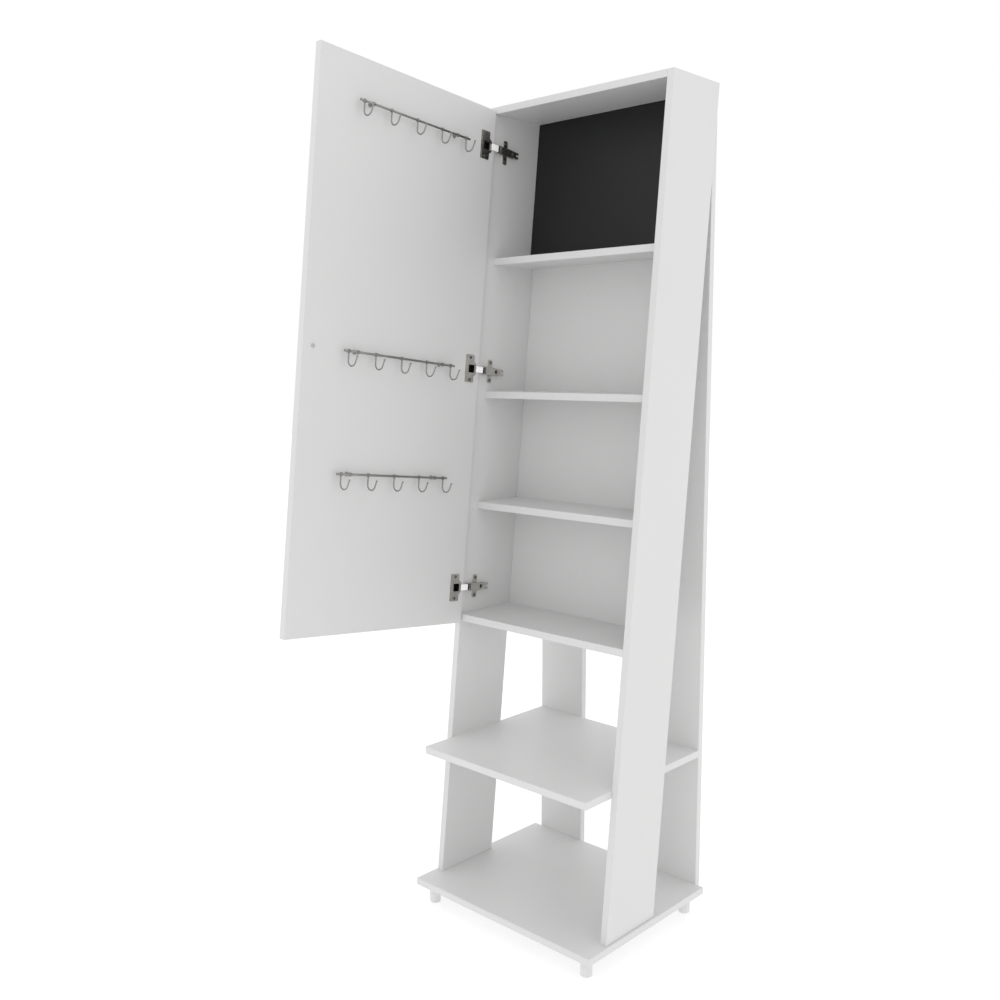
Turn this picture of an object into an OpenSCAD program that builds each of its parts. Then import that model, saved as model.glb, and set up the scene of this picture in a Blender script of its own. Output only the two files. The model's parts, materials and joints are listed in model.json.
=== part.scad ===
// Jewelry armoire: a narrow cabinet that leans back on its base, with a hinged door,
// three hook rails inside the door, an open middle shelf and two upright rear posts.
// Millimetres, +Z up, +Y to the rear. The origin is on the floor, centred below the whole piece
// with its door open.

/* [Base] */
// Width of the base board
base_w = 490; // [440:5:560]
// Depth of the base board
base_d = 400; // [380:5:440]
// Height of the round feet
foot_h = 40; // [25:1:60]
// Diameter of the round feet
foot_d = 24; // [18:1:40]
// Distance from the base edges to the centre of a foot
foot_inset = 29; // [20:1:60]
// Overhang of the base beyond each side panel
side_inset = 5; // [2:1:20]

/* [Boards] */
// Thickness of every furniture board
board_t = 15; // [12:1:18]
// Thickness of the back board
back_t = 3; // [2:1:5]
// Radius of the middle shelf's front corners
shelf_r = 3; // [2:1:40]

/* [Cabinet] */
// Height of the whole armoire
total_h = 1750; // [1600:10:1900]
// Depth of the leaning side panels, measured level
panel_d = 160; // [140:5:180]
// Distance of the panels' lower front corner ahead of the base centre
panel_front = 140; // [120:1:150]
// Height of the cabinet floor's upper face
floor_z = 640; // [600:10:680]
// Heights of the three inner shelves' upper faces
shelf_z = [887, 1133, 1426];
// How far the inner shelves stand back from the cabinet's front
shelf_recess = 30; // [10:1:60]
// Height of the middle shelf's upper face
mid_z = 361; // [300:1:420]
// Distance of the middle shelf's front edge ahead of the base centre
mid_front = 190; // [160:5:200]
// Width of each rear post
post_w = 125; // [80:5:150]
// Thickness of the black lining board in the top compartment
lining_t = 13; // [6:1:20]

/* [Door] */
// Width of the door
door_w = 476; // [460:0.5:477]
// Height of the door's lower edge above the floor
door_z = 621; // [610:1:630]
// Distance of the door's upper edge below the top board's upper face
door_top_gap = 10; // [5:1:15]
// Gap between the closed door and the cabinet's front
door_gap = 4; // [3.5:0.1:5]
// Distance of the closed door's edge from the cabinet's outer left face
side_reveal = 1; // [0.5:0.1:2]
// Distance of the knob from the door's free edge
knob_inset = 25; // [20:1:40]
// Border of door left bare round the mirror
mirror_border = 45; // [40:1:80]
// Thickness of the mirror
mirror_t = 3; // [2:1:5]

/* [Hook rails] */
// Distances of the three rails below the door's top edge
rail_drop = [85, 564, 804];
// Length of a rail
rail_len = 299; // [260:1:360]
// Distance of a rail's middle from the door's hinge edge
rail_mid = 235.5; // [220:0.5:245]
// Diameter of a rail
rail_d = 4.6; // [3:0.2:8]
// Distance of a rail's axis from the door
rail_off = 12; // [9:1:20]
// Spacing of the hooks
hook_pitch = 69; // [50:1:70]
// Diameter of the hook wire
wire_d = 2.8; // [2:0.2:4]
// Inner bend radius of a hook, to the wire's axis
hook_r = 11.5; // [8:0.5:15]
// Length of a hook's straight stem below the rail's axis
hook_stem = 18; // [12:1:25]
// Outward lean of a hook's tip
tip_angle = 22; // [0:1:35]
// Drop of a hook's tip below the rail's axis
tip_drop = 10; // [6:0.5:14]

/* [Hinges] */
// Distance of the outer hinges from the door's ends
hinge_end = 80; // [70:1:120]
// Height of a cup's flange
flange_h = 60; // [56:1:66]
// Distance of the mounting plate's centre behind the cabinet's front
plate_set = 37; // [30:1:45]

/* [Hidden] */

cap_d = 12;
cap_t = 1.5;
base_top = foot_h + board_t;
outer_x = base_w / 2 - side_inset;
inner_x = outer_x - board_t;
rise = total_h - base_top;
// The cabinet leans until its back board meets the rear posts at the top.
touch_gap = 0.3;
lean = atan((base_d / 2 - panel_d - back_t - touch_gap + panel_front) / rise);
// Level distance that the front plane moves back for each millimetre of height
slope = tan(lean);
door_low = (door_z - base_top) / cos(lean);
door_high = (total_h - door_top_gap - base_top) / cos(lean);
door_mid = (door_low + door_high) / 2;
// The open door's inner face, measured from the cabinet's outer left face; the door turns by a
// right angle about an axis as far behind this face as it is in front of the door's hinge edge.
open_x = board_t + door_gap + side_reveal + 2;
door_chamfer = 1;
// The base's centre lies behind the origin, because the open door reaches far to the front.
door_front = panel_front + (door_gap + door_w) * cos(lean) - door_low * sin(lean);
base_y = (door_front - base_d / 2 - board_t - cap_t) / 2;
rear_y = base_y + base_d / 2;
fit = 0.05;
cap_inset = 25;
nail_d = 5;
nail_h = 0.7;
nail_count = 9;
knob_bolt_d = 4;
knob_profile = [[0, 0], [6, 0], [6, 1.6], [4.2, 3.2], [4.2, 5], [8, 8.6], [8, 10.8], [6.5, 12], [0, 12]];

// Hinge sizes, in a frame with x into the cabinet from its outer left face, f to the front, v up the lean.
hinge_v = [door_high - hinge_end, door_mid, door_low + hinge_end];
flange_t = 1.5;
flange_u = [16, 41.5];
cup_u = 22.5;
cup_d = 35;
cup_depth = 12.5;
pocket_u = [14, 32];
pocket_h = 17;
plate_t = 2.2;
bar_h = 51;
bar_w = 12;
spine_h = 16;
spine_f = [22, 63];
arm_f = [-73, -17];
arm_x = [board_t + 3.2, board_t + 9.5];
arm_h = 17;
arm_screw_f = plate_set + 13;
arm_screw_d = 8;
arm_screw_h = 3;
notch_f = 67;
notch_w = 4.4;
ear_t = 1.5;
link_h = 13;
link_t = 2;
link_bend_d = 2.4;
link_pivot = [21, -12];
pin_d = 2.4;
pin_len = 18;
screw_d = 4;
screw_head = [7, 5, 1.2];
// The link bends round the side panel's edge: pivot, two bends and the end over the cup.
link_line = [link_pivot, [25.6, -5], [26, 4], [26, 14.3]];
cup_screw_v = 24;
cup_screw_u = 28;
plate_screw_v = 19.5;
rail_foot_d = 9;
rail_post_d = 4.6;
rail_post_u = [rail_mid - 113.5, rail_mid + 115.5];
collar_d = rail_d + 3;
collar_w = 4.5;
rail_v = [for (drop = rail_drop) door_high - drop];

// Front plane of the leaning cabinet at height z
function front_y(z) = base_y - panel_front + slope * (z - base_top);

// A level board inside the cabinet, its edges cut to the lean
module leaning_slab(z, front, back) {
    points = [[front_y(z - board_t) + front, z - board_t], [front_y(z - board_t) + back, z - board_t],
        [front_y(z) + back, z], [front_y(z) + front, z]];
    translate([-inner_x, 0, 0])
        rotate([90, 0, 90]) linear_extrude(2 * inner_x) polygon(points);
}

// The frame that leans with the cabinet: x into the cabinet, -y to the front, z up the lean
module lean_frame() {
    translate([-outer_x, base_y - panel_front, base_top]) rotate([-lean, 0, 0]) children();
}

// The open door's frame: x out of its inner face, -y from its hinge edge, z up the lean
module door_frame() {
    lean_frame() translate([open_x, -door_gap, 0]) children();
}

module base_board() {
    color("white") translate([-base_w / 2, base_y - base_d / 2, foot_h]) cube([base_w, base_d, board_t]);
}

module feet() {
    color("whitesmoke")
        for (sx = [-1, 1], sy = [-1, 1])
            translate([sx * (base_w / 2 - foot_inset), base_y + sy * (base_d / 2 - foot_inset), 0]) {
                cylinder(h = foot_h, d = foot_d, $fn = 48);
                translate([0, 0, foot_h - 4]) cylinder(h = 4, d = foot_d + 5, $fn = 48);
            }
}

module side_panel(x) {
    points = [[front_y(base_top), base_top], [front_y(base_top) + panel_d, base_top],
        [front_y(total_h) + panel_d, total_h], [front_y(total_h), total_h]];
    color("white") translate([x, 0, 0]) rotate([90, 0, 90]) linear_extrude(board_t) polygon(points);
}

module side_panel_left() { side_panel(-outer_x); }

module side_panel_right() { side_panel(inner_x); }

module rear_post(x) {
    color("white") translate([x, rear_y, foot_h]) cube([post_w, board_t, total_h - foot_h]);
}

module rear_post_left() { rear_post(-inner_x); }

module rear_post_right() { rear_post(inner_x - post_w); }

module middle_shelf() {
    color("white") translate([0, base_y, mid_z - board_t]) linear_extrude(board_t) union() {
        translate([-inner_x, -mid_front + shelf_r])
            square([2 * inner_x, base_d / 2 + mid_front - shelf_r]);
        translate([-inner_x + shelf_r, -mid_front]) square([2 * (inner_x - shelf_r), 2 * shelf_r]);
        for (s = [-1, 1])
            translate([s * (inner_x - shelf_r), -mid_front + shelf_r]) circle(r = shelf_r, $fn = 64);
    }
}

module cabinet_floor() { color("white") leaning_slab(floor_z, 0, panel_d); }

module shelf_lower() { color("white") leaning_slab(shelf_z[0], shelf_recess, panel_d); }

module shelf_middle() { color("white") leaning_slab(shelf_z[1], shelf_recess, panel_d); }

module shelf_upper() { color("white") leaning_slab(shelf_z[2], shelf_recess, panel_d); }

module top_board() { color("white") leaning_slab(total_h, 0, panel_d); }

// A thin board on the rear edges of the side panels
module back_board() {
    low = floor_z - board_t;
    high = total_h - 2;
    t = back_t / cos(lean);
    points = [[front_y(low) + panel_d, low], [front_y(low) + panel_d + t, low],
        [front_y(high) + panel_d + t, high], [front_y(high) + panel_d, high]];
    color("white") translate([-outer_x + 5, 0, 0])
        rotate([90, 0, 90]) linear_extrude(2 * outer_x - 10) polygon(points);
}

module black_lining() {
    low = shelf_z[2];
    high = total_h - board_t;
    points = [[front_y(low) + panel_d - lining_t, low], [front_y(low) + panel_d, low],
        [front_y(high) + panel_d, high], [front_y(high) + panel_d - lining_t, high]];
    color("#202226") translate([-inner_x, 0, 0])
        rotate([90, 0, 90]) linear_extrude(2 * inner_x) polygon(points);
}

// Caps over the screws that hold the posts to the base, the middle shelf and the top board
module post_screw_caps() {
    color("white")
        for (z = [base_top - board_t / 2, mid_z - board_t / 2, total_h - board_t / 2],
            x = [inner_x - cap_inset, inner_x - post_w + cap_inset], s = [-1, 1])
            translate([s * x, rear_y + board_t, z]) rotate([-90, 0, 0])
                cylinder(h = cap_t, d = cap_d, $fn = 32);
}

module back_nails() {
    nail_x = outer_x - board_t / 2 - 1;
    color("silver")
        for (i = [0 : nail_count - 1], s = [-1, 1]) {
            z = floor_z + 10 + i * (total_h - floor_z - 40) / (nail_count - 1);
            translate([s * nail_x, front_y(z) + panel_d, z]) rotate([-90 - lean, 0, 0])
                translate([0, 0, back_t]) cylinder(h = nail_h, d = nail_d, $fn = 24);
        }
}

// The door's section, with small chamfers on its upright edges
module door_section() {
    c = door_chamfer;
    polygon([[-c, 0], [0, -c], [0, c - door_w], [-c, -door_w],
        [c - board_t, -door_w], [-board_t, c - door_w], [-board_t, -c], [c - board_t, 0]]);
}

module door_panel() {
    color("white") door_frame() difference() {
        translate([0, 0, door_low]) linear_extrude(door_high - door_low) door_section();
        for (v = hinge_v)
            translate([-cup_depth, -cup_u, v]) rotate([0, 90, 0])
                cylinder(h = cup_depth + 1, d = cup_d, $fn = 96);
        translate([-board_t - 1, -door_w + knob_inset, door_mid])
            rotate([0, 90, 0]) cylinder(h = board_t + 2, d = knob_bolt_d + 0.4, $fn = 32);
    }
}

module door_mirror() {
    color("lightsteelblue") door_frame()
        translate([-board_t - mirror_t, -door_w + mirror_border, door_low + mirror_border])
            cube([mirror_t, door_w - 2 * mirror_border, door_high - door_low - 2 * mirror_border]);
}

module door_knob() {
    color("silver") door_frame()
        translate([-board_t, -door_w + knob_inset, door_mid]) rotate([0, -90, 0]) difference() {
            rotate_extrude($fn = 64) polygon(knob_profile);
            translate([0, 0, -1]) cylinder(h = 8, d = knob_bolt_d + 2 * fit, $fn = 32);
        }
}

module knob_screw() {
    color("silver") door_frame()
        translate([0, -door_w + knob_inset, door_mid]) rotate([0, -90, 0]) {
            translate([0, 0, -1.6]) cylinder(h = 1.6, d = 8.5, $fn = 48);
            cylinder(h = board_t + 6, d = knob_bolt_d, $fn = 32);
        }
}

// Wing plate on the side panel's inner face
module hinge_plate(v) {
    color("silver") lean_frame() translate([board_t, 0, v]) difference() {
        union() {
            translate([0, plate_set - bar_w / 2, -bar_h / 2 + bar_w / 2])
                cube([plate_t, bar_w, bar_h - bar_w]);
            for (s = [-1, 1])
                translate([0, plate_set, s * (bar_h - bar_w) / 2]) rotate([0, 90, 0])
                    cylinder(h = plate_t, d = bar_w, $fn = 48);
            translate([0, spine_f[0], -spine_h / 2]) cube([plate_t + 1, spine_f[1] - spine_f[0], spine_h]);
        }
        for (s = [-1, 1])
            translate([-1, plate_set, s * plate_screw_v]) rotate([0, 90, 0])
                cylinder(h = plate_t + 2, d = screw_d + 0.2, $fn = 32);
    }
}

module hinge_plate_top() { hinge_plate(hinge_v[0]); }

module hinge_plate_middle() { hinge_plate(hinge_v[1]); }

module hinge_plate_bottom() { hinge_plate(hinge_v[2]); }

// Arm over the wing plate, with two ears round the link
module hinge_arm(v) {
    w = arm_x[1] - arm_x[0];
    color("silver") lean_frame() translate([0, 0, v]) difference() {
        union() {
            translate([arm_x[0], -arm_f[1], -arm_h / 2]) cube([w, arm_f[1] - arm_f[0], arm_h]);
            for (s = [-1, 1])
                translate([link_pivot[0] - 2, -link_pivot[1] - 3.5, s * (arm_h / 2 - 0.5) - ear_t / 2])
                    cube([arm_x[1] - link_pivot[0] + 2, link_pivot[1] - arm_f[1] + 4.5, ear_t]);
        }
        translate([arm_x[0] - 1, arm_screw_f, 0]) rotate([0, 90, 0])
            cylinder(h = w + 2, d = arm_screw_d + 0.2, $fn = 32);
        translate([arm_x[0] - 1, notch_f, 0]) rotate([0, 90, 0])
            cylinder(h = w + 2, d = notch_w, $fn = 32);
        translate([arm_x[0] - 1, notch_f, -notch_w / 2]) cube([w + 2, notch_w + 6, notch_w]);
        translate([link_pivot[0], -link_pivot[1], -arm_h]) cylinder(h = 2 * arm_h, d = pin_d, $fn = 32);
    }
}

module hinge_arm_top() { hinge_arm(hinge_v[0]); }

module hinge_arm_middle() { hinge_arm(hinge_v[1]); }

module hinge_arm_bottom() { hinge_arm(hinge_v[2]); }

module hinge_pins() {
    color("silver") lean_frame() for (v = hinge_v)
        translate([link_pivot[0], -link_pivot[1], v])
            cylinder(h = pin_len, d = pin_d, center = true, $fn = 32);
}

module plate_screws() {
    color("silver") lean_frame() for (v = hinge_v, s = [-1, 1])
        translate([board_t, plate_set, v + s * plate_screw_v]) rotate([0, 90, 0]) {
            cylinder(h = plate_t, d = screw_d, $fn = 32);
            translate([0, 0, plate_t])
                cylinder(h = screw_head[2], d1 = screw_head[0], d2 = screw_head[1], $fn = 32);
        }
}

module arm_screws() {
    color("silver") lean_frame() for (v = hinge_v)
        translate([arm_x[0], arm_screw_f, v]) rotate([0, 90, 0])
            cylinder(h = arm_screw_h, d = arm_screw_d, $fn = 48);
}

// A bent strip between the arm's pin and the cup
module hinge_link(v) {
    color("silver") lean_frame() translate([0, 0, v - link_h / 2]) difference() {
        linear_extrude(link_h) union() {
            for (i = [0 : len(link_line) - 2]) {
                a = link_line[i];
                b = link_line[i + 1];
                d = b - a;
                translate([a[0], -a[1]]) rotate(-atan2(d[1], d[0]))
                    translate([0, -link_t / 2]) square([norm(d), link_t]);
            }
            for (i = [1 : len(link_line) - 1])
                translate([link_line[i][0], -link_line[i][1]]) circle(d = link_bend_d, $fn = 32);
            translate([link_pivot[0], -link_pivot[1]]) circle(d = 4.4, $fn = 48);
        }
        translate([link_pivot[0], -link_pivot[1], -1])
            cylinder(h = link_h + 2, d = pin_d + 2 * fit, $fn = 32);
    }
}

module hinge_link_top() { hinge_link(hinge_v[0]); }

module hinge_link_middle() { hinge_link(hinge_v[1]); }

module hinge_link_bottom() { hinge_link(hinge_v[2]); }

// Round cup let into the door, with a flange on its face
module hinge_cup(v) {
    flange_w = flange_u[1] - flange_u[0];
    pocket_w = pocket_u[1] - pocket_u[0];
    color("silver") door_frame() translate([0, 0, v]) difference() {
        union() {
            translate([0, -flange_u[1], -flange_h / 2]) cube([flange_t, flange_w, flange_h]);
            translate([-cup_depth + fit, -cup_u, 0]) rotate([0, 90, 0])
                cylinder(h = cup_depth + flange_t - fit - 0.7, d = cup_d - 2 * fit, $fn = 96);
        }
        translate([-cup_depth + 1, -pocket_u[1], -pocket_h / 2]) cube([cup_depth + 3, pocket_w, pocket_h]);
        for (s = [-1, 1])
            translate([-1, -cup_screw_u, s * cup_screw_v]) rotate([0, 90, 0])
                cylinder(h = flange_t + 2, d = screw_d + 0.2, $fn = 32);
    }
}

module hinge_cup_top() { hinge_cup(hinge_v[0]); }

module hinge_cup_middle() { hinge_cup(hinge_v[1]); }

module hinge_cup_bottom() { hinge_cup(hinge_v[2]); }

module cup_screws() {
    color("silver") door_frame() for (v = hinge_v, s = [-1, 1])
        translate([0, -cup_screw_u, v + s * cup_screw_v]) rotate([0, 90, 0]) {
            cylinder(h = flange_t, d = screw_d, $fn = 32);
            translate([0, 0, flange_t])
                cylinder(h = screw_head[2], d1 = screw_head[0], d2 = screw_head[1], $fn = 32);
        }
}

module rail(v) {
    color("dimgray") door_frame() translate([rail_off, -rail_mid, v]) rotate([90, 0, 0])
        cylinder(h = rail_len, d = rail_d, center = true, $fn = 48);
}

module rail_top() { rail(rail_v[0]); }

module rail_middle() { rail(rail_v[1]); }

module rail_bottom() { rail(rail_v[2]); }

// Five hooks of bent wire, each on a collar round the rail
module hooks(v) {
    tip_len = (hook_stem - tip_drop + hook_r * sin(tip_angle)) / cos(tip_angle);
    color("dimgray") door_frame() for (i = [-2 : 2])
        translate([rail_off, -rail_mid - i * hook_pitch, v]) {
            difference() {
                rotate([90, 0, 0]) cylinder(h = collar_w, d = collar_d, center = true, $fn = 48);
                rotate([90, 0, 0]) cylinder(h = collar_w + 2, d = rail_d, center = true, $fn = 48);
            }
            translate([0, 0, -hook_stem]) cylinder(h = hook_stem - rail_d / 2 - 0.6, d = wire_d, $fn = 32);
            translate([hook_r, 0, -hook_stem]) rotate([90, 0, 0]) rotate([0, 0, 180])
                rotate_extrude(angle = 180 - tip_angle, $fn = 96)
                    translate([hook_r, 0]) circle(d = wire_d, $fn = 32);
            translate([hook_r + hook_r * cos(tip_angle), 0, -hook_stem - hook_r * sin(tip_angle)])
                rotate([0, tip_angle, 0]) {
                    cylinder(h = tip_len, d = wire_d, $fn = 32);
                    translate([0, 0, tip_len]) sphere(d = wire_d + 0.8, $fn = 32);
                }
        }
}

module hooks_top() { hooks(rail_v[0]); }

module hooks_middle() { hooks(rail_v[1]); }

module hooks_bottom() { hooks(rail_v[2]); }

// Two round posts that hold a rail off the door
module rail_posts(v) {
    color("dimgray") door_frame() for (u = rail_post_u)
        translate([0, -u, v]) difference() {
            union() {
                rotate([0, 90, 0]) cylinder(h = 1.5, d = rail_foot_d, $fn = 48);
                rotate([0, 90, 0]) cylinder(h = rail_off, d = rail_post_d, $fn = 48);
                translate([rail_off, 0, 0]) rotate([90, 0, 0])
                    cylinder(h = 6, d = collar_d, center = true, $fn = 48);
            }
            translate([rail_off, 0, 0]) rotate([90, 0, 0])
                cylinder(h = 8, d = rail_d, center = true, $fn = 48);
        }
}

module rail_posts_top() { rail_posts(rail_v[0]); }

module rail_posts_middle() { rail_posts(rail_v[1]); }

module rail_posts_bottom() { rail_posts(rail_v[2]); }

base_board();
feet();
side_panel_left();
side_panel_right();
rear_post_left();
rear_post_right();
middle_shelf();
cabinet_floor();
shelf_lower();
shelf_middle();
shelf_upper();
top_board();
back_board();
black_lining();
post_screw_caps();
back_nails();
door_panel();
door_mirror();
door_knob();
knob_screw();
hinge_plate_top();
hinge_plate_middle();
hinge_plate_bottom();
hinge_arm_top();
hinge_arm_middle();
hinge_arm_bottom();
hinge_pins();
plate_screws();
arm_screws();
hinge_link_top();
hinge_link_middle();
hinge_link_bottom();
hinge_cup_top();
hinge_cup_middle();
hinge_cup_bottom();
cup_screws();
rail_top();
rail_middle();
rail_bottom();
hooks_top();
hooks_middle();
hooks_bottom();
rail_posts_top();
rail_posts_middle();
rail_posts_bottom();
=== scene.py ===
"""Jewelry armoire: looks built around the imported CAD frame. Metres, +Z up, +Y to the rear."""
import json
import math

import bmesh
import bpy
from mathutils import Matrix, Vector
from mathutils.geometry import tessellate_polygon


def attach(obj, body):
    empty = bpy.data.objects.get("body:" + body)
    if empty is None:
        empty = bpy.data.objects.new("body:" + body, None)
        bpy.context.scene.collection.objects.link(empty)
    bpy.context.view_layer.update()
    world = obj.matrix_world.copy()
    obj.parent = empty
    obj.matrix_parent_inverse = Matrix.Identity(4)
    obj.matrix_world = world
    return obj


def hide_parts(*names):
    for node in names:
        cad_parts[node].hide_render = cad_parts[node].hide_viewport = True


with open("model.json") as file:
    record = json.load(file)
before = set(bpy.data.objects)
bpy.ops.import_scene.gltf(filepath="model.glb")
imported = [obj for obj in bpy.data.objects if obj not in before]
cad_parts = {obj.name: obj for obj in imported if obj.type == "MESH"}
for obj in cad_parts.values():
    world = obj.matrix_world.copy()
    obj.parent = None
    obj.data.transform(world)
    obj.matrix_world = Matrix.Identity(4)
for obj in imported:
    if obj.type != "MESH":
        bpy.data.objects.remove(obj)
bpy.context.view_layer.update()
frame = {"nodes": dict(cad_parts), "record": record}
NODES = frame["nodes"]
MM = 0.001

# ---------------------------------------------------------------- sizes, in millimetres, as in part.scad
BOARD_T = 15.0
LEAN = math.atan(176.7 / 1695.0)
OUTER_X = 240.0
INNER_X = 225.0
BASE_TOP = 55.0
PANEL_FRONT = 140.0
DOOR_W = 476.0
DOOR_GAP = 4.0
KNOB_INSET = 25.0
OPEN_X = 22.0
DOOR_LOW = (621.0 - BASE_TOP) / math.cos(LEAN)
DOOR_HIGH = (1740.0 - BASE_TOP) / math.cos(LEAN)
DOOR_MID = (DOOR_LOW + DOOR_HIGH) / 2
BASE_Y = (PANEL_FRONT + (DOOR_GAP + DOOR_W) * math.cos(LEAN) - DOOR_LOW * math.sin(LEAN) - 216.5) / 2
HINGES = {"top": DOOR_HIGH - 80, "middle": DOOR_MID, "bottom": DOOR_LOW + 80}
RAILS = {"top": DOOR_HIGH - 85, "middle": DOOR_HIGH - 564, "bottom": DOOR_HIGH - 804}
# x into the cabinet from its outer left face, -y to the front, z up the lean
LEAN_FRAME = (Matrix.Translation((-OUTER_X * MM, (BASE_Y - PANEL_FRONT) * MM, BASE_TOP * MM))
              @ Matrix.Rotation(-LEAN, 4, "X") @ Matrix.Scale(MM, 4))
# x out of the open door's inner face, -y from its hinge edge, z up the lean
DOOR_FRAME = LEAN_FRAME @ Matrix.Translation((OPEN_X, -DOOR_GAP, 0))
BASE_FRAME = Matrix.Translation((0, BASE_Y * MM, 0)) @ Matrix.Scale(MM, 4)


# ---------------------------------------------------------------- materials
class Nodes:
    """Short hand for building one material's node tree."""

    def __init__(self, name):
        self.mat = bpy.data.materials.new(name)
        self.mat.use_nodes = True
        self.tree = self.mat.node_tree
        self.tree.nodes.clear()
        self.out = self.add("ShaderNodeOutputMaterial")
        self.shader = self.add("ShaderNodeBsdfPrincipled")
        self.link(self.shader, "BSDF", self.out, "Surface")
        self.coord = self.add("ShaderNodeTexCoord")

    def add(self, kind, **values):
        node = self.tree.nodes.new(kind)
        for key, value in values.items():
            setattr(node, key, value)
        return node

    def link(self, a, a_socket, b, b_socket):
        self.tree.links.new(a.outputs[a_socket], b.inputs[b_socket])

    def set(self, **values):
        for key, value in values.items():
            self.shader.inputs[key.replace("_", " ")].default_value = value

    def noise(self, scale, detail=2.0, rough=0.5, stretch=(1, 1, 1)):
        mapping = self.add("ShaderNodeMapping")
        mapping.inputs["Scale"].default_value = stretch
        self.link(self.coord, "Object", mapping, "Vector")
        node = self.add("ShaderNodeTexNoise")
        node.inputs["Scale"].default_value = scale
        node.inputs["Detail"].default_value = detail
        node.inputs["Roughness"].default_value = rough
        self.link(mapping, "Vector", node, "Vector")
        return node

    def ramp(self, source, socket, stops):
        node = self.add("ShaderNodeValToRGB")
        elements = node.color_ramp.elements
        while len(elements) < len(stops):
            elements.new(0.5)
        for element, (place, value) in zip(elements, stops):
            element.position = place
            element.color = (value, value, value, 1) if isinstance(value, float) else (*value, 1)
        self.link(source, socket, node, "Fac")
        return node

    def map(self, source, socket, low, high, to_low, to_high):
        node = self.add("ShaderNodeMapRange")
        for name, value in (("From Min", low), ("From Max", high), ("To Min", to_low), ("To Max", to_high)):
            node.inputs[name].default_value = value
        self.link(source, socket, node, "Value")
        return node

    def bump(self, height, strength, distance, previous=None):
        node = self.add("ShaderNodeBump")
        node.inputs["Strength"].default_value = strength
        node.inputs["Distance"].default_value = distance
        self.tree.links.new(height, node.inputs["Height"])
        if previous is not None:
            self.link(previous, "Normal", node, "Normal")
        self.link(node, "Normal", self.shader, "Normal")
        return node


def laminate(name, low, high, rough=0.42):
    """Melamine board: a faint cloudiness in the colour, and the fine pearl texture of its pressed face."""
    m = Nodes(name)
    cloud = m.noise(3.0, 3.0, 0.55)
    tone = m.ramp(cloud, "Fac", [(0.3, low), (0.7, high)])
    m.link(tone, "Color", m.shader, "Base Color")
    pearl = m.noise(1400.0, 2.0, 0.6)
    soft = m.noise(220.0, 1.0, 0.4)
    dull = m.map(pearl, "Fac", 0.2, 0.8, rough - 0.05, rough + 0.06)
    m.link(dull, "Result", m.shader, "Roughness")
    first = m.bump(soft.outputs["Fac"], 0.10, 0.0004)
    m.bump(pearl.outputs["Fac"], 0.22, 0.00012, first)
    m.set(IOR=1.46)
    return m.mat


def metal(name, low, high, rough, scale=900.0, stretch=(1, 1, 1), strength=0.12):
    m = Nodes(name)
    grain = m.noise(scale, 3.0, 0.6, stretch)
    smudge = m.noise(60.0, 2.0, 0.5)
    tone = m.ramp(smudge, "Fac", [(0.3, low), (0.7, high)])
    m.link(tone, "Color", m.shader, "Base Color")
    dull = m.map(grain, "Fac", 0.25, 0.75, rough - 0.06, rough + 0.1)
    m.link(dull, "Result", m.shader, "Roughness")
    m.bump(grain.outputs["Fac"], strength, 0.00008)
    m.set(Metallic=1.0)
    return m.mat


def plastic(name, low, high, rough=0.38):
    m = Nodes(name)
    cloud = m.noise(40.0, 2.0, 0.5)
    tone = m.ramp(cloud, "Fac", [(0.3, low), (0.7, high)])
    m.link(tone, "Color", m.shader, "Base Color")
    grain = m.noise(1800.0, 2.0, 0.5)
    dull = m.map(grain, "Fac", 0.2, 0.8, rough - 0.05, rough + 0.07)
    m.link(dull, "Result", m.shader, "Roughness")
    m.bump(grain.outputs["Fac"], 0.15, 0.0001)
    return m.mat


WHITE_LOW = (0.700, 0.700, 0.698)
WHITE_HIGH = (0.716, 0.716, 0.714)
white = laminate("white_laminate", WHITE_LOW, WHITE_HIGH)
black = laminate("black_laminate", (0.006, 0.006, 0.0065), (0.008, 0.008, 0.0085), 0.5)
nickel = metal("nickel_plate", (0.52, 0.50, 0.47), (0.60, 0.58, 0.55), 0.22)
zinc = metal("zinc_plate", (0.58, 0.58, 0.58), (0.66, 0.66, 0.66), 0.32)
rail_steel = metal("rail_steel", (0.30, 0.295, 0.285), (0.36, 0.35, 0.34), 0.30, 500.0, (1, 0.06, 1), 0.2)
foot_plastic = plastic("foot_plastic", (0.70, 0.70, 0.70), (0.73, 0.73, 0.73))
cap_plastic = plastic("cap_plastic", (0.70, 0.70, 0.69), (0.74, 0.74, 0.73))


def mirror_glass():
    m = Nodes("mirror_glass")
    haze = m.noise(5.0, 2.0, 0.5)
    tone = m.ramp(haze, "Fac", [(0.3, (0.86, 0.88, 0.88)), (0.7, (0.89, 0.91, 0.91))])
    m.link(tone, "Color", m.shader, "Base Color")
    dull = m.map(haze, "Fac", 0.2, 0.8, 0.015, 0.035)
    m.link(dull, "Result", m.shader, "Roughness")
    wave = m.noise(14.0, 1.0, 0.3)
    m.bump(wave.outputs["Fac"], 0.02, 0.0005)
    m.set(Metallic=1.0)
    return m.mat


mirror = mirror_glass()

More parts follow.
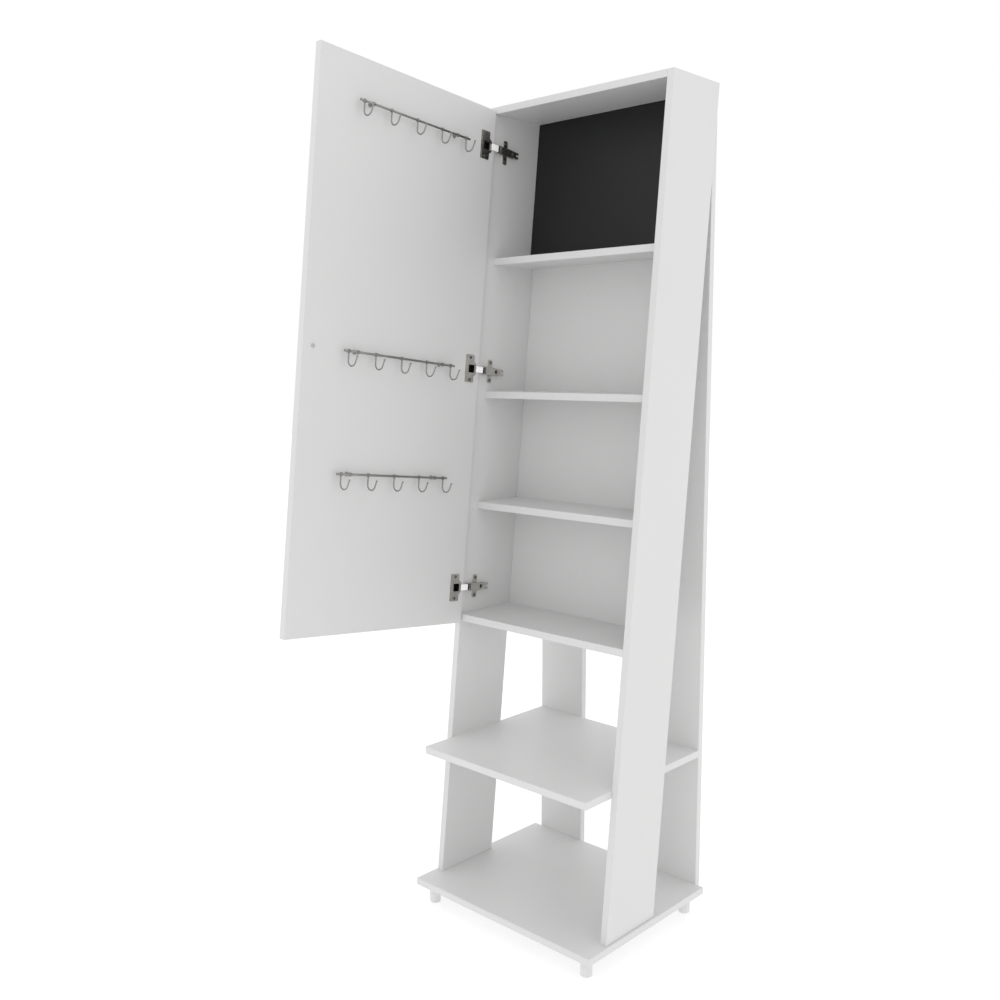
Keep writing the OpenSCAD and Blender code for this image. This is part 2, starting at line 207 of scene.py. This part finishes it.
# Link face: near-white plastic with a faint emission, a painted glow that keeps the links bright where their
# surroundings are dark.
link_white_with_painted_glow = plastic("link_plate_painted_glow", (0.94, 0.94, 0.94), (0.96, 0.96, 0.96), 0.22)
link_glow_shader = link_white_with_painted_glow.node_tree.nodes["Principled BSDF"]
link_glow_shader.inputs["Emission Color"].default_value = (1, 1, 1, 1)
link_glow_shader.inputs["Emission Strength"].default_value = 0.15
screw_steel = metal("screw_steel", (0.20, 0.20, 0.19), (0.27, 0.27, 0.26), 0.35)
# Dark steel for the height screws, and painted shade: a dark sheet for the cup pockets' floors and walls and
# round the link pivots.
dark_steel_and_painted_shade = metal("dark_steel_and_painted_recess_shade", (0.045, 0.045, 0.045), (0.065, 0.065, 0.065), 0.55)
SLOT_MATERIALS = {"white_board": white, "black_board": black, "foot_plastic": foot_plastic,
                  "cap_plastic": cap_plastic, "mirror_glass": mirror, "zinc_steel": zinc,
                  "nickel_steel": nickel, "rail_metal": rail_steel}
BEVEL = {"white_board": 0.7, "black_board": 0.4, "foot_plastic": 0.8, "cap_plastic": 0.5, "mirror_glass": 1.2,
         "zinc_steel": 0.3, "nickel_steel": 0.25, "rail_metal": 0.2}
for part in frame["record"]["subparts"]:
    obj = NODES[part["node"]]
    slot = part["material_slot"]
    obj.data.materials.clear()
    obj.data.materials.append(SLOT_MATERIALS[slot])
    weld = obj.modifiers.new("weld", "WELD")
    weld.merge_threshold = 1e-5
    bevel = obj.modifiers.new("bevel", "BEVEL")
    bevel.width = BEVEL[slot] * MM
    bevel.segments = 3
    bevel.limit_method = "ANGLE"
    bevel.angle_limit = math.radians(40)
    bevel.harden_normals = True


# ---------------------------------------------------------------- mesh building
def arc(cx, cy, r, start, end, steps):
    turns = [math.radians(start + (end - start) * i / steps) for i in range(steps + 1)]
    return [(cx + r * math.cos(t), cy + r * math.sin(t)) for t in turns]


def circle(cx, cy, r, steps=32):
    return arc(cx, cy, r, 0, 360 - 360 / steps, steps - 1)


def rounded(a0, b0, a1, b1, r, steps=6):
    """Rectangle with rounded corners, anticlockwise."""
    return (arc(a1 - r, b0 + r, r, -90, 0, steps) + arc(a1 - r, b1 - r, r, 0, 90, steps)
            + arc(a0 + r, b1 - r, r, 90, 180, steps) + arc(a0 + r, b0 + r, r, 180, 270, steps))


def cross(a, b, arm, width):
    w = width / 2
    points = [(arm, -w), (arm, w), (w, w), (w, arm), (-w, arm), (-w, w),
              (-arm, w), (-arm, -w), (-w, -w), (-w, -arm), (w, -arm), (w, -w)]
    return [(a + p, b + q) for p, q in points]


def prism(bm, outline, low, high, place, holes=(), material=0):
    """Outline with holes, drawn out from low to high. place(a, b, h) gives the point in the piece's frame."""
    loops = [outline, *holes]
    flat = [point for loop in loops for point in loop]
    verts = [[bm.verts.new(place(a, b, h)) for a, b in flat] for h in (low, high)]
    triangles = tessellate_polygon([[Vector((a, b, 0)) for a, b in loop] for loop in loops])
    made = []
    if holes:
        for side in verts:
            made += [bm.faces.new([side[i] for i in triangle]) for triangle in triangles]
    else:
        made += [bm.faces.new(side) for side in verts]
    start = 0
    for loop in loops:
        count = len(loop)
        for i in range(count):
            p, q = start + i, start + (i + 1) % count
            made.append(bm.faces.new((verts[0][p], verts[0][q], verts[1][q], verts[1][p])))
        start += count
    for face in made:
        face.material_index = material


def lathe(bm, profile, origin, axis, side, steps=48, material=0):
    """Profile of (radius, height) turned round an axis; it starts and ends on the axis or leaves a bore."""
    axis, side = Vector(axis).normalized(), Vector(side).normalized()
    other = axis.cross(side)
    rings = []
    for r, h in profile:
        middle = Vector(origin) + axis * h
        if r < 1e-6:
            rings.append([bm.verts.new(middle)])
        else:
            turns = [2 * math.pi * i / steps for i in range(steps)]
            around = [side * math.cos(t) + other * math.sin(t) for t in turns]
            rings.append([bm.verts.new(middle + way * r) for way in around])
    for a, b in zip(rings, rings[1:]):
        for i in range(steps):
            j = (i + 1) % steps
            corners = [a[i % len(a)], a[j % len(a)], b[j % len(b)], b[i % len(b)]]
            kept = [c for n, c in enumerate(corners) if c not in corners[:n]]
            if len(kept) > 2:
                bm.faces.new(kept).material_index = material


def tube(bm, path, radius, steps=20):
    """Round wire along a path of points, open ends closed flat."""
    path = [Vector(p) for p in path]
    rings = []
    normal = None
    for i, point in enumerate(path):
        ahead = path[min(i + 1, len(path) - 1)] - path[max(i - 1, 0)]
        ahead.normalize()
        if normal is None:
            normal = ahead.orthogonal().normalized()
        normal = (normal - ahead * normal.dot(ahead)).normalized()
        other = ahead.cross(normal)
        turns = [2 * math.pi * k / steps for k in range(steps)]
        around = [normal * math.cos(t) + other * math.sin(t) for t in turns]
        rings.append([bm.verts.new(point + way * radius) for way in around])
    for a, b in zip(rings, rings[1:]):
        for k in range(steps):
            m = (k + 1) % steps
            bm.faces.new((a[k], a[m], b[m], b[k]))
    bm.faces.new(rings[0][::-1])
    bm.faces.new(rings[-1])


def dome(radius, height, steps=6):
    """Half profile of a round head, from its rim to its middle."""
    turns = [math.pi / 2 * i / steps for i in range(steps + 1)]
    return [(radius * math.cos(t), height * math.sin(t)) for t in turns]


def piece(name, bm, matrix, materials, body, nodes, bevel=0.0, segments=2, angle=32):
    bmesh.ops.transform(bm, matrix=matrix, verts=bm.verts)
    bmesh.ops.recalc_face_normals(bm, faces=bm.faces)
    mesh = bpy.data.meshes.new(name)
    bm.to_mesh(mesh)
    bm.free()
    mesh.shade_smooth()
    mesh.set_sharp_from_angle(angle=math.radians(angle))
    for material in materials:
        mesh.materials.append(material)
    obj = bpy.data.objects.new(name, mesh)
    bpy.context.scene.collection.objects.link(obj)
    if bevel:
        soften = obj.modifiers.new("edges", "BEVEL")
        soften.width = bevel * MM
        soften.segments = segments
        soften.limit_method = "ANGLE"
        soften.angle_limit = math.radians(angle)
        obj.modifiers.new("normals", "WEIGHTED_NORMAL").keep_sharp = True
    if nodes:
        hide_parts(*nodes)
    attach(obj, body)
    return obj


def on_face(v):
    """Outline in (distance to the front, height) at height v, drawn out along x."""
    return lambda f, b, h: Vector((h, -f, v + b))


def on_side(v):
    """Outline in (x, distance to the front), drawn out along the height."""
    return lambda x, f, h: Vector((x, -f, v + h))


# ---------------------------------------------------------------- hinges
PLATE_SET, ARM_SCREW_F, PIVOT = 37.0, 50.0, (21.0, -12.0)
LINK_LINE = [PIVOT, (25.6, -5.0), (26.0, 4.0), (26.0, 14.3)]
CUP_U, POCKET = 22.5, (14.0, 32.0, 8.5)
CUP_SCREW_U, CUP_SCREW_V, PLATE_SCREW_V = 28.0, 24.0, 19.5


def screw_head(bm, x, f, v, radius, height, depth, width):
    """Flat round head with a cross recess, seen along x."""
    place = on_face(v)
    prism(bm, circle(f, 0, radius), x, x + height - depth, place)
    recess = cross(f, 0, radius * 0.62, width)
    prism(bm, circle(f, 0, radius), x + height - depth, x + height, place, [recess])


def hinge_plates():
    bm = bmesh.new()
    for v in HINGES.values():
        place = on_face(v)
        f = -PLATE_SET
        screw_holes = [circle(f, s * PLATE_SCREW_V, 2.1, 20) for s in (-1, 1)]
        wings = (arc(f - 3.0, -22.5, 3, 180, 270, 8) + arc(f + 3.0, -22.5, 3, 270, 360, 8)
                 + [(f + 6, -9), (f + 7, -8), (f + 7, 8), (f + 6, 9)]
                 + arc(f + 3.0, 22.5, 3, 0, 90, 8) + arc(f - 3.0, 22.5, 3, 90, 180, 8)
                 + [(f - 6, 9), (f - 7, 8), (f - 7, -8), (f - 6, -9)])
        prism(bm, wings, BOARD_T, BOARD_T + 2.2, place, screw_holes)
        prism(bm, rounded(-63, -7.8, -22, 7.8, 2), BOARD_T, BOARD_T + 3.1, place)
        prism(bm, rounded(-61, -4.2, -58, 4.2, 1), BOARD_T + 3.0, BOARD_T + 3.2, place)
    names = [f"hinge_plate_{n}" for n in HINGES]
    piece("wing_plates", bm, LEAN_FRAME, [nickel], "carcass", names, 0.35)


def hinge_arms():
    bm = bmesh.new()
    for v in HINGES.values():
        notch = arc(-67, 0, 2.2, -90, 90, 10)
        cover = [(-17, -8.3), (-17, 8.3), (-45, 8.3), (-52, 7.4), (-71, 6.6), (-73, 5.2), (-73, 2.2),
                 *notch[::-1], (-73, -2.2), (-73, -5.2), (-71, -6.6), (-52, -7.4), (-45, -8.3)]
        prism(bm, cover, 22.9, 24.5, on_face(v), [circle(-ARM_SCREW_F, 0, 4.3, 28)])
        prism(bm, circle(-ARM_SCREW_F, 0, 5.0, 28), 22.4, 22.95, on_face(v), [circle(-ARM_SCREW_F, 0,
                                                                                     4.3, 28)])
        flange = [(18.3, -45), (24.0, -45), (24.0, -17), (24.5, -12), (23.2, -8.6), (19.6, -8.6), (18.3, -17)]
        tail = [(18.3, -71), (24.0, -72), (24.0, -45), (18.3, -45)]
        for s in (-1, 1):
            prism(bm, flange, s * 7.3, s * 8.6, on_side(v))
            prism(bm, tail, s * 5.6, s * 7.0, on_side(v))
    names = [f"hinge_arm_{n}" for n in HINGES]
    piece("hinge_arms_detailed", bm, LEAN_FRAME, [nickel], "carcass", names, 0.3)


def hinge_screws():
    bm = bmesh.new()
    for v in HINGES.values():
        for s in (-1, 1):
            screw_head(bm, BOARD_T + 1.6, -PLATE_SET, v + s * PLATE_SCREW_V, 3.4, 1.7, 0.9, 1.1)
    piece("wing_plate_screws", bm, LEAN_FRAME, [screw_steel], "carcass",
          ["plate_screws"], 0.2)
    bm = bmesh.new()
    for v in HINGES.values():
        screw_head(bm, 18.2, -ARM_SCREW_F, v, 4.1, 2.8, 1.2, 1.4)
    piece("height_screws", bm, LEAN_FRAME, [dark_steel_and_painted_shade], "carcass", ["arm_screws"], 0.2)
    bm = bmesh.new()
    for v in HINGES.values():
        rivet = [(0, -9.0), (1.0, -8.9), (1.2, -8.6), (1.2, 8.6), (1.0, 8.9), (0, 9.0)]
        lathe(bm, rivet, (PIVOT[0], -PIVOT[1], v), (0, 0, 1), (1, 0, 0), 24)
    piece("rivets", bm, LEAN_FRAME, [nickel], "carcass", ["hinge_pins"])
    bm = bmesh.new()
    for v in HINGES.values():
        for s in (-1, 1):
            screw_head(bm, 1.0, CUP_SCREW_U, v + s * CUP_SCREW_V, 3.4, 1.6, 0.9, 1.1)
    piece("flange_screws", bm, DOOR_FRAME, [screw_steel], "door", ["cup_screws"], 0.2)


def link_sides(line, half):
    """Two sides of a strip of even thickness along a bent line."""
    sides = []
    for sign in (1, -1):
        row = []
        for i, point in enumerate(line):
            before = Vector(line[i]) - Vector(line[i - 1]) if i else Vector(line[1]) - Vector(line[0])
            after = Vector(line[i + 1]) - Vector(line[i]) if i + 1 < len(line) else before
            middle = (before.normalized() + after.normalized()).normalized()
            normal = Vector((-middle.y, middle.x))
            reach = half / max(0.5, middle.dot(after.normalized()))
            row.append(tuple(Vector(point) + normal * sign * reach))
        sides.append(row)
    return sides


def hinge_links():
    bm = bmesh.new()
    for v in HINGES.values():
        left, right = link_sides(LINK_LINE, 1.0)
        tip = arc(LINK_LINE[-1][0], LINK_LINE[-1][1], 1.0, 150, 30, 6)
        # Material 1 (dark) on the pivot boss and the link's root paints the shade in the gap between the link
        # and the arm.
        prism(bm, circle(PIVOT[0], PIVOT[1], 2.2, 28), -6.4, 6.4, on_side(v),
              [circle(PIVOT[0], PIVOT[1], 1.25, 20)], 1)
        near = [tuple(Vector(p).lerp(Vector(q), 0.2)) for p, q in ((left[0], left[1]), (right[0], right[1]))]
        prism(bm, [near[0], left[1], right[1], near[1]], -6.5, 6.5, on_side(v), (), 1)
        prism(bm, [left[1], left[2], *tip, right[2], right[1]], -6.5, 6.5, on_side(v))
    names = [f"hinge_link_{n}" for n in HINGES]
    piece("links", bm, LEAN_FRAME, [link_white_with_painted_glow, dark_steel_and_painted_shade], "hinge_links", names, 0.3)


def hinge_cups():
    bm = bmesh.new()
    u0, u1, h = POCKET
    pocket = rounded(u0, -h, u1, h, 1.5)
    for v in HINGES.values():
        place = on_face(v)
        wing = (arc(19, -27, 3, 180, 270, 5) + arc(36.5, -28, 2, -90, 0, 4) + arc(36.5, 28, 2, 0, 90, 4)
                + arc(19, 27, 3, 90, 180, 5) + [(16, 8.6), (32.4, 8.6), (32.4, -8.6), (16, -8.6)])
        screws = [circle(CUP_SCREW_U, s * CUP_SCREW_V, 2.1, 20) for s in (-1, 1)]
        prism(bm, wing, 0.0, 1.5, place, screws)
        prism(bm, rounded(37.5, -30, 41.5, 30, 1.6), 0.0, 0.9, place)
        prism(bm, circle(CUP_U, 0, 17.4, 64), -11.4, 0.75, place, [pocket])
        # The cup floor and the pocket's wall lining use material 1, a dark sheet that paints the shade inside
        # the pocket.
        prism(bm, circle(CUP_U, 0, 17.4, 64), -12.4, -11.4, place, (), 1)
        liner = rounded(u0 + 0.3, -h + 0.3, u1 - 0.3, h - 0.3, 1.3)
        prism(bm, rounded(u0 - 0.1, -h - 0.1, u1 + 0.1, h + 0.1, 1.5), -11.3, 0.2, place, [liner], 1)
        for s in (-1, 1):
            prism(bm, rounded(20, s * 13 - 0.9, 34, s * 13 + 0.9, 0.8), 1.4, 1.9, place)
    names = [f"hinge_cup_{n}" for n in HINGES]
    piece("cups", bm, DOOR_FRAME, [nickel, dark_steel_and_painted_shade], "door", names, 0.25)


# ---------------------------------------------------------------- door
def door():
    bm = bmesh.new()
    outline = [(0, 0), (0, DOOR_W), (-BOARD_T, DOOR_W), (-BOARD_T, 0)]
    prism(bm, outline, DOOR_LOW, DOOR_HIGH, lambda x, u, h: Vector((x, -u, h)))
    made = piece("door_board", bm, DOOR_FRAME, [white], "door", ["door_panel"])
    rounding = made.modifiers.new("edges", "BEVEL")
    rounding.width = 1.0 * MM
    rounding.segments = 3
    cutter_mesh = bmesh.new()
    for v in HINGES.values():
        prism(cutter_mesh, circle(CUP_U, 0, 17.5, 64), -12.5, 3, on_face(v))
    bmesh.ops.transform(cutter_mesh, matrix=DOOR_FRAME, verts=cutter_mesh.verts)
    bmesh.ops.recalc_face_normals(cutter_mesh, faces=cutter_mesh.faces)
    mesh = bpy.data.meshes.new("cup_bores")
    cutter_mesh.to_mesh(mesh)
    cutter_mesh.free()
    cutter = bpy.data.objects.new("cup_bores", mesh)
    bpy.context.scene.collection.objects.link(cutter)
    bore = made.modifiers.new("bores", "BOOLEAN")
    bore.object = cutter
    bore.solver = "EXACT"
    graph = bpy.context.evaluated_depsgraph_get()
    cut = bpy.data.meshes.new_from_object(made.evaluated_get(graph))
    made.modifiers.clear()
    made.data = cut
    for polygon in cut.polygons:
        polygon.use_smooth = False
    bpy.data.objects.remove(cutter)


def door_fittings():
    bm = bmesh.new()
    border, thick, polish = 45.0, 3.0, 14.0
    low, high = DOOR_LOW + border, DOOR_HIGH - border
    near, far = border, DOOR_W - border
    rings = []
    for x, inset in ((0, 0), (-1.7, 0), (-2.0, 0.3), (-thick, polish)):
        corners = [(near + inset, low + inset), (far - inset, low + inset),
                   (far - inset, high - inset), (near + inset, high - inset)]
        rings.append([bm.verts.new((-BOARD_T + x, -u, v)) for u, v in corners])
    for a, b in zip(rings, rings[1:]):
        for i in range(4):
            j = (i + 1) % 4
            bm.faces.new((a[i], a[j], b[j], b[i]))
    bm.faces.new(rings[0])
    bm.faces.new(rings[-1])
    piece("bevelled_mirror", bm, DOOR_FRAME, [mirror], "door", ["door_mirror"], 0, 2, 0.5)

    bm = bmesh.new()
    origin = (-BOARD_T, -DOOR_W + KNOB_INSET, DOOR_MID)
    profile = [(2.1, 0), (5.7, 0), (6.0, 0.3), (6.0, 1.2), (5.6, 1.7), (4.6, 2.6), (4.2, 3.6), (4.25, 4.6),
               (5.2, 6.2), (6.9, 7.9), (7.7, 8.7), (8.0, 9.3), (8.0, 10.4), (7.7, 11.1), (7.0, 11.7),
               (6.2, 12.0), (3.0, 12.0), (2.6, 11.8), (0, 11.8)]
    lathe(bm, profile, origin, (-1, 0, 0), (0, 1, 0), 64)
    piece("turned_knob", bm, DOOR_FRAME, [zinc], "door", ["door_knob"])

    bm = bmesh.new()
    place = on_face(DOOR_MID)
    prism(bm, circle(DOOR_W - KNOB_INSET, 0, 4.2, 40), 0, 0.7, place)
    prism(bm, circle(DOOR_W - KNOB_INSET, 0, 4.2, 40), 0.7, 1.6, place, [cross(DOOR_W - KNOB_INSET, 0,
                                                                               2.4, 1.1)])
    shank = [(0, 0.5), (2.0, 0.5), (2.0, -20.5), (0, -21)]
    lathe(bm, shank, (0, -DOOR_W + KNOB_INSET, DOOR_MID), (1, 0, 0), (0, 1, 0), 24)
    piece("knob_bolt", bm, DOOR_FRAME, [zinc], "door", ["knob_screw"], 0.3)


# ---------------------------------------------------------------- hook rails
RAIL_MID, RAIL_LEN, RAIL_OFF, RAIL_R, WIRE_R = 235.5, 299.0, 12.0, 2.3, 1.4
HOOK_R, HOOK_STEM, TIP_DROP, TIP_ANGLE, HOOK_PITCH = 11.5, 18.0, 10.0, 22.0, 69.0


def ring(bm, x, u, v, inner, outer, width):
    """Rounded collar round the rail."""
    w = width / 2
    r = 0.7
    profile = [(inner, -w + r), (inner + 0.2, -w), (outer - r, -w), (outer - r * 0.3, -w + r * 0.3),
               (outer, -w + r),
               (outer, w - r), (outer - r * 0.3, w - r * 0.3), (outer - r, w), (inner + 0.2, w), (inner,
                                                                                                  w - r),
               (inner, -w + r)]
    lathe(bm, profile, (x, -u, v), (0, 1, 0), (1, 0, 0), 32)


def hook(bm, u, v):
    lean = math.radians(TIP_ANGLE)
    tip_len = (HOOK_STEM - TIP_DROP + HOOK_R * math.sin(lean)) / math.cos(lean)
    path = [(RAIL_OFF, -u, v - RAIL_R - 0.6), (RAIL_OFF, -u, v - 10), (RAIL_OFF, -u, v - HOOK_STEM)]
    for i in range(1, 25):
        t = math.radians(180 + (180 - TIP_ANGLE) * i / 24)
        path.append((RAIL_OFF + HOOK_R + HOOK_R * math.cos(t), -u, v - HOOK_STEM + HOOK_R * math.sin(t)))
    end = Vector(path[-1]) + Vector((math.sin(lean), 0, math.cos(lean))) * tip_len
    path.append(tuple(end))
    tube(bm, path, WIRE_R)
    ball = dome(1.9, 1.9, 8)
    lathe(bm, [(0, -1.9)] + [(r, -h) for r, h in reversed(ball[:-1])] + ball[1:],
          end, (math.sin(lean), 0, math.cos(lean)), (0, 1, 0), 24)
    ring(bm, RAIL_OFF, u, v, RAIL_R, RAIL_R + 1.5, 4.5)


def rails():
    bars, hooks, posts = bmesh.new(), bmesh.new(), bmesh.new()
    for v in RAILS.values():
        half = RAIL_LEN / 2
        end = dome(RAIL_R, 0.9, 5)
        profile = [(r, -half + 0.9 - h) for r, h in reversed(end)] + [(r, half - 0.9 + h) for r, h in end]
        lathe(bars, profile, (RAIL_OFF, -RAIL_MID, v), (0, 1, 0), (1, 0, 0), 32)
        for i in range(-2, 3):
            hook(hooks, RAIL_MID + i * HOOK_PITCH, v)
        for u in (RAIL_MID - 113.5, RAIL_MID + 115.5):
            profile = [(0, 0), (4.5, 0), (4.5, 0.9), (4.2, 1.3), (3.6, 1.5), (2.9, 1.6), (2.4, 2.1),
                       (2.3, 2.8),
                       (2.3, 9.4), (0, 9.4)]
            lathe(posts, profile, (0, -u, v), (1, 0, 0), (0, 1, 0), 32)
            ring(posts, RAIL_OFF, u, v, RAIL_R, RAIL_R + 1.5, 6.0)
    piece("round_rails", bars, DOOR_FRAME, [rail_steel], "door", [f"rail_{n}" for n in RAILS])
    piece("wire_hooks", hooks, DOOR_FRAME, [rail_steel], "door", [f"hooks_{n}" for n in RAILS])
    piece("turned_posts", posts, DOOR_FRAME, [rail_steel], "door",
          [f"rail_posts_{n}" for n in RAILS])


# ---------------------------------------------------------------- feet, caps and nails
def feet():
    bm = bmesh.new()
    profile = [(0, 0.0), (9.4, 0.0), (10.6, 0.3), (11.6, 1.3), (12.0, 2.6), (12.0, 33.0), (12.2, 34.6),
               (12.9, 35.7),
               (13.9, 36.2), (14.4, 36.7), (14.5, 37.4), (14.5, 40.0), (0, 40.0)]
    for sx in (-1, 1):
        for sy in (-1, 1):
            lathe(bm, profile, (sx * 216, sy * 171, 0), (0, 0, 1), (1, 0, 0), 64)
    piece("turned_feet", bm, BASE_FRAME, [foot_plastic], "carcass", ["feet"], 0, 2, 50)


def caps():
    bm = bmesh.new()
    profile = [(0, 0), (5.9, 0), (6.0, 0.2), (6.0, 0.6), (5.7, 1.05), (5.0, 1.35), (3.0, 1.48), (0, 1.5)]
    for z in (47.5, 353.5, 1742.5):
        for x in (INNER_X - 25, INNER_X - 100):
            for s in (-1, 1):
                lathe(bm, profile, (s * x, 215, z), (0, 1, 0), (1, 0, 0), 40)
    piece("screw_caps", bm, BASE_FRAME, [cap_plastic], "carcass",
          ["post_screw_caps"], 0, 2, 50)


def nails():
    bm = bmesh.new()
    for i in range(9):
        z = 640 + 10 + i * (1750 - 640 - 40) / 8
        y = -PANEL_FRONT + math.tan(LEAN) * (z - BASE_TOP) + 160
        axis = Vector((0, math.cos(LEAN), -math.sin(LEAN)))
        profile = [(0, 2.9), (2.5, 2.9), (2.5, 3.2)] + [(r * 0.98, 3.2 + h) for r, h in dome(2.5, 0.5, 5)]
        for s in (-1, 1):
            lathe(bm, profile, (s * 231.5, y, z), axis, (1, 0, 0), 24)
    piece("nail_heads", bm, BASE_FRAME, [zinc], "carcass", ["back_nails"])


for make in (hinge_plates, hinge_arms, hinge_screws, hinge_links, hinge_cups, door, door_fittings, rails,
             feet,
             caps, nails):
    make()


# ---------------------------------------------------------------- floor, light and camera
def floor():
    mesh = bpy.data.meshes.new("floor")
    size = 14.0
    corners = [(-size, -size, 0), (size, -size, 0), (size, size, 0), (-size, size, 0)]
    mesh.from_pydata(corners, [], [(0, 1, 2, 3)])
    obj = bpy.data.objects.new("floor", mesh)
    bpy.context.scene.collection.objects.link(obj)
    m = Nodes("floor_paint")
    cloud = m.noise(1.2, 2.0, 0.5)
    tone = m.ramp(cloud, "Fac", [(0.3, 0.55), (0.7, 0.56)])
    m.link(tone, "Color", m.shader, "Base Color")
    m.set(Roughness=0.9, Emission_Strength=0.55, Specular_IOR_Level=0.1)
    m.shader.inputs["Emission Color"].default_value = (1, 1, 1, 1)
    mesh.materials.append(m.mat)


floor()

world = bpy.data.worlds.new("studio")
world.use_nodes = True
world.node_tree.nodes["Background"].inputs["Color"].default_value = (1, 1, 1, 1)
world.node_tree.nodes["Background"].inputs["Strength"].default_value = 1.0
scene = bpy.context.scene
scene.world = world
scene.view_settings.view_transform = "Standard"

camera_data = bpy.data.cameras.new("camera")
camera_data.sensor_width = 36.0
camera_data.angle = math.radians(50.0)
camera = bpy.data.objects.new("camera", camera_data)
scene.collection.objects.link(camera)
azimuth, pitch = math.radians(-43.27), math.radians(-7.11)
look = Vector((math.sin(azimuth) * math.cos(pitch), math.cos(azimuth) * math.cos(pitch), math.sin(pitch)))
camera.location = (1.4480, -1.7275 + BASE_Y * MM, 1.1885)
camera.rotation_euler = look.to_track_quat("-Z", "Y").to_euler()
camera_data.clip_end = 60.0
scene.camera = camera
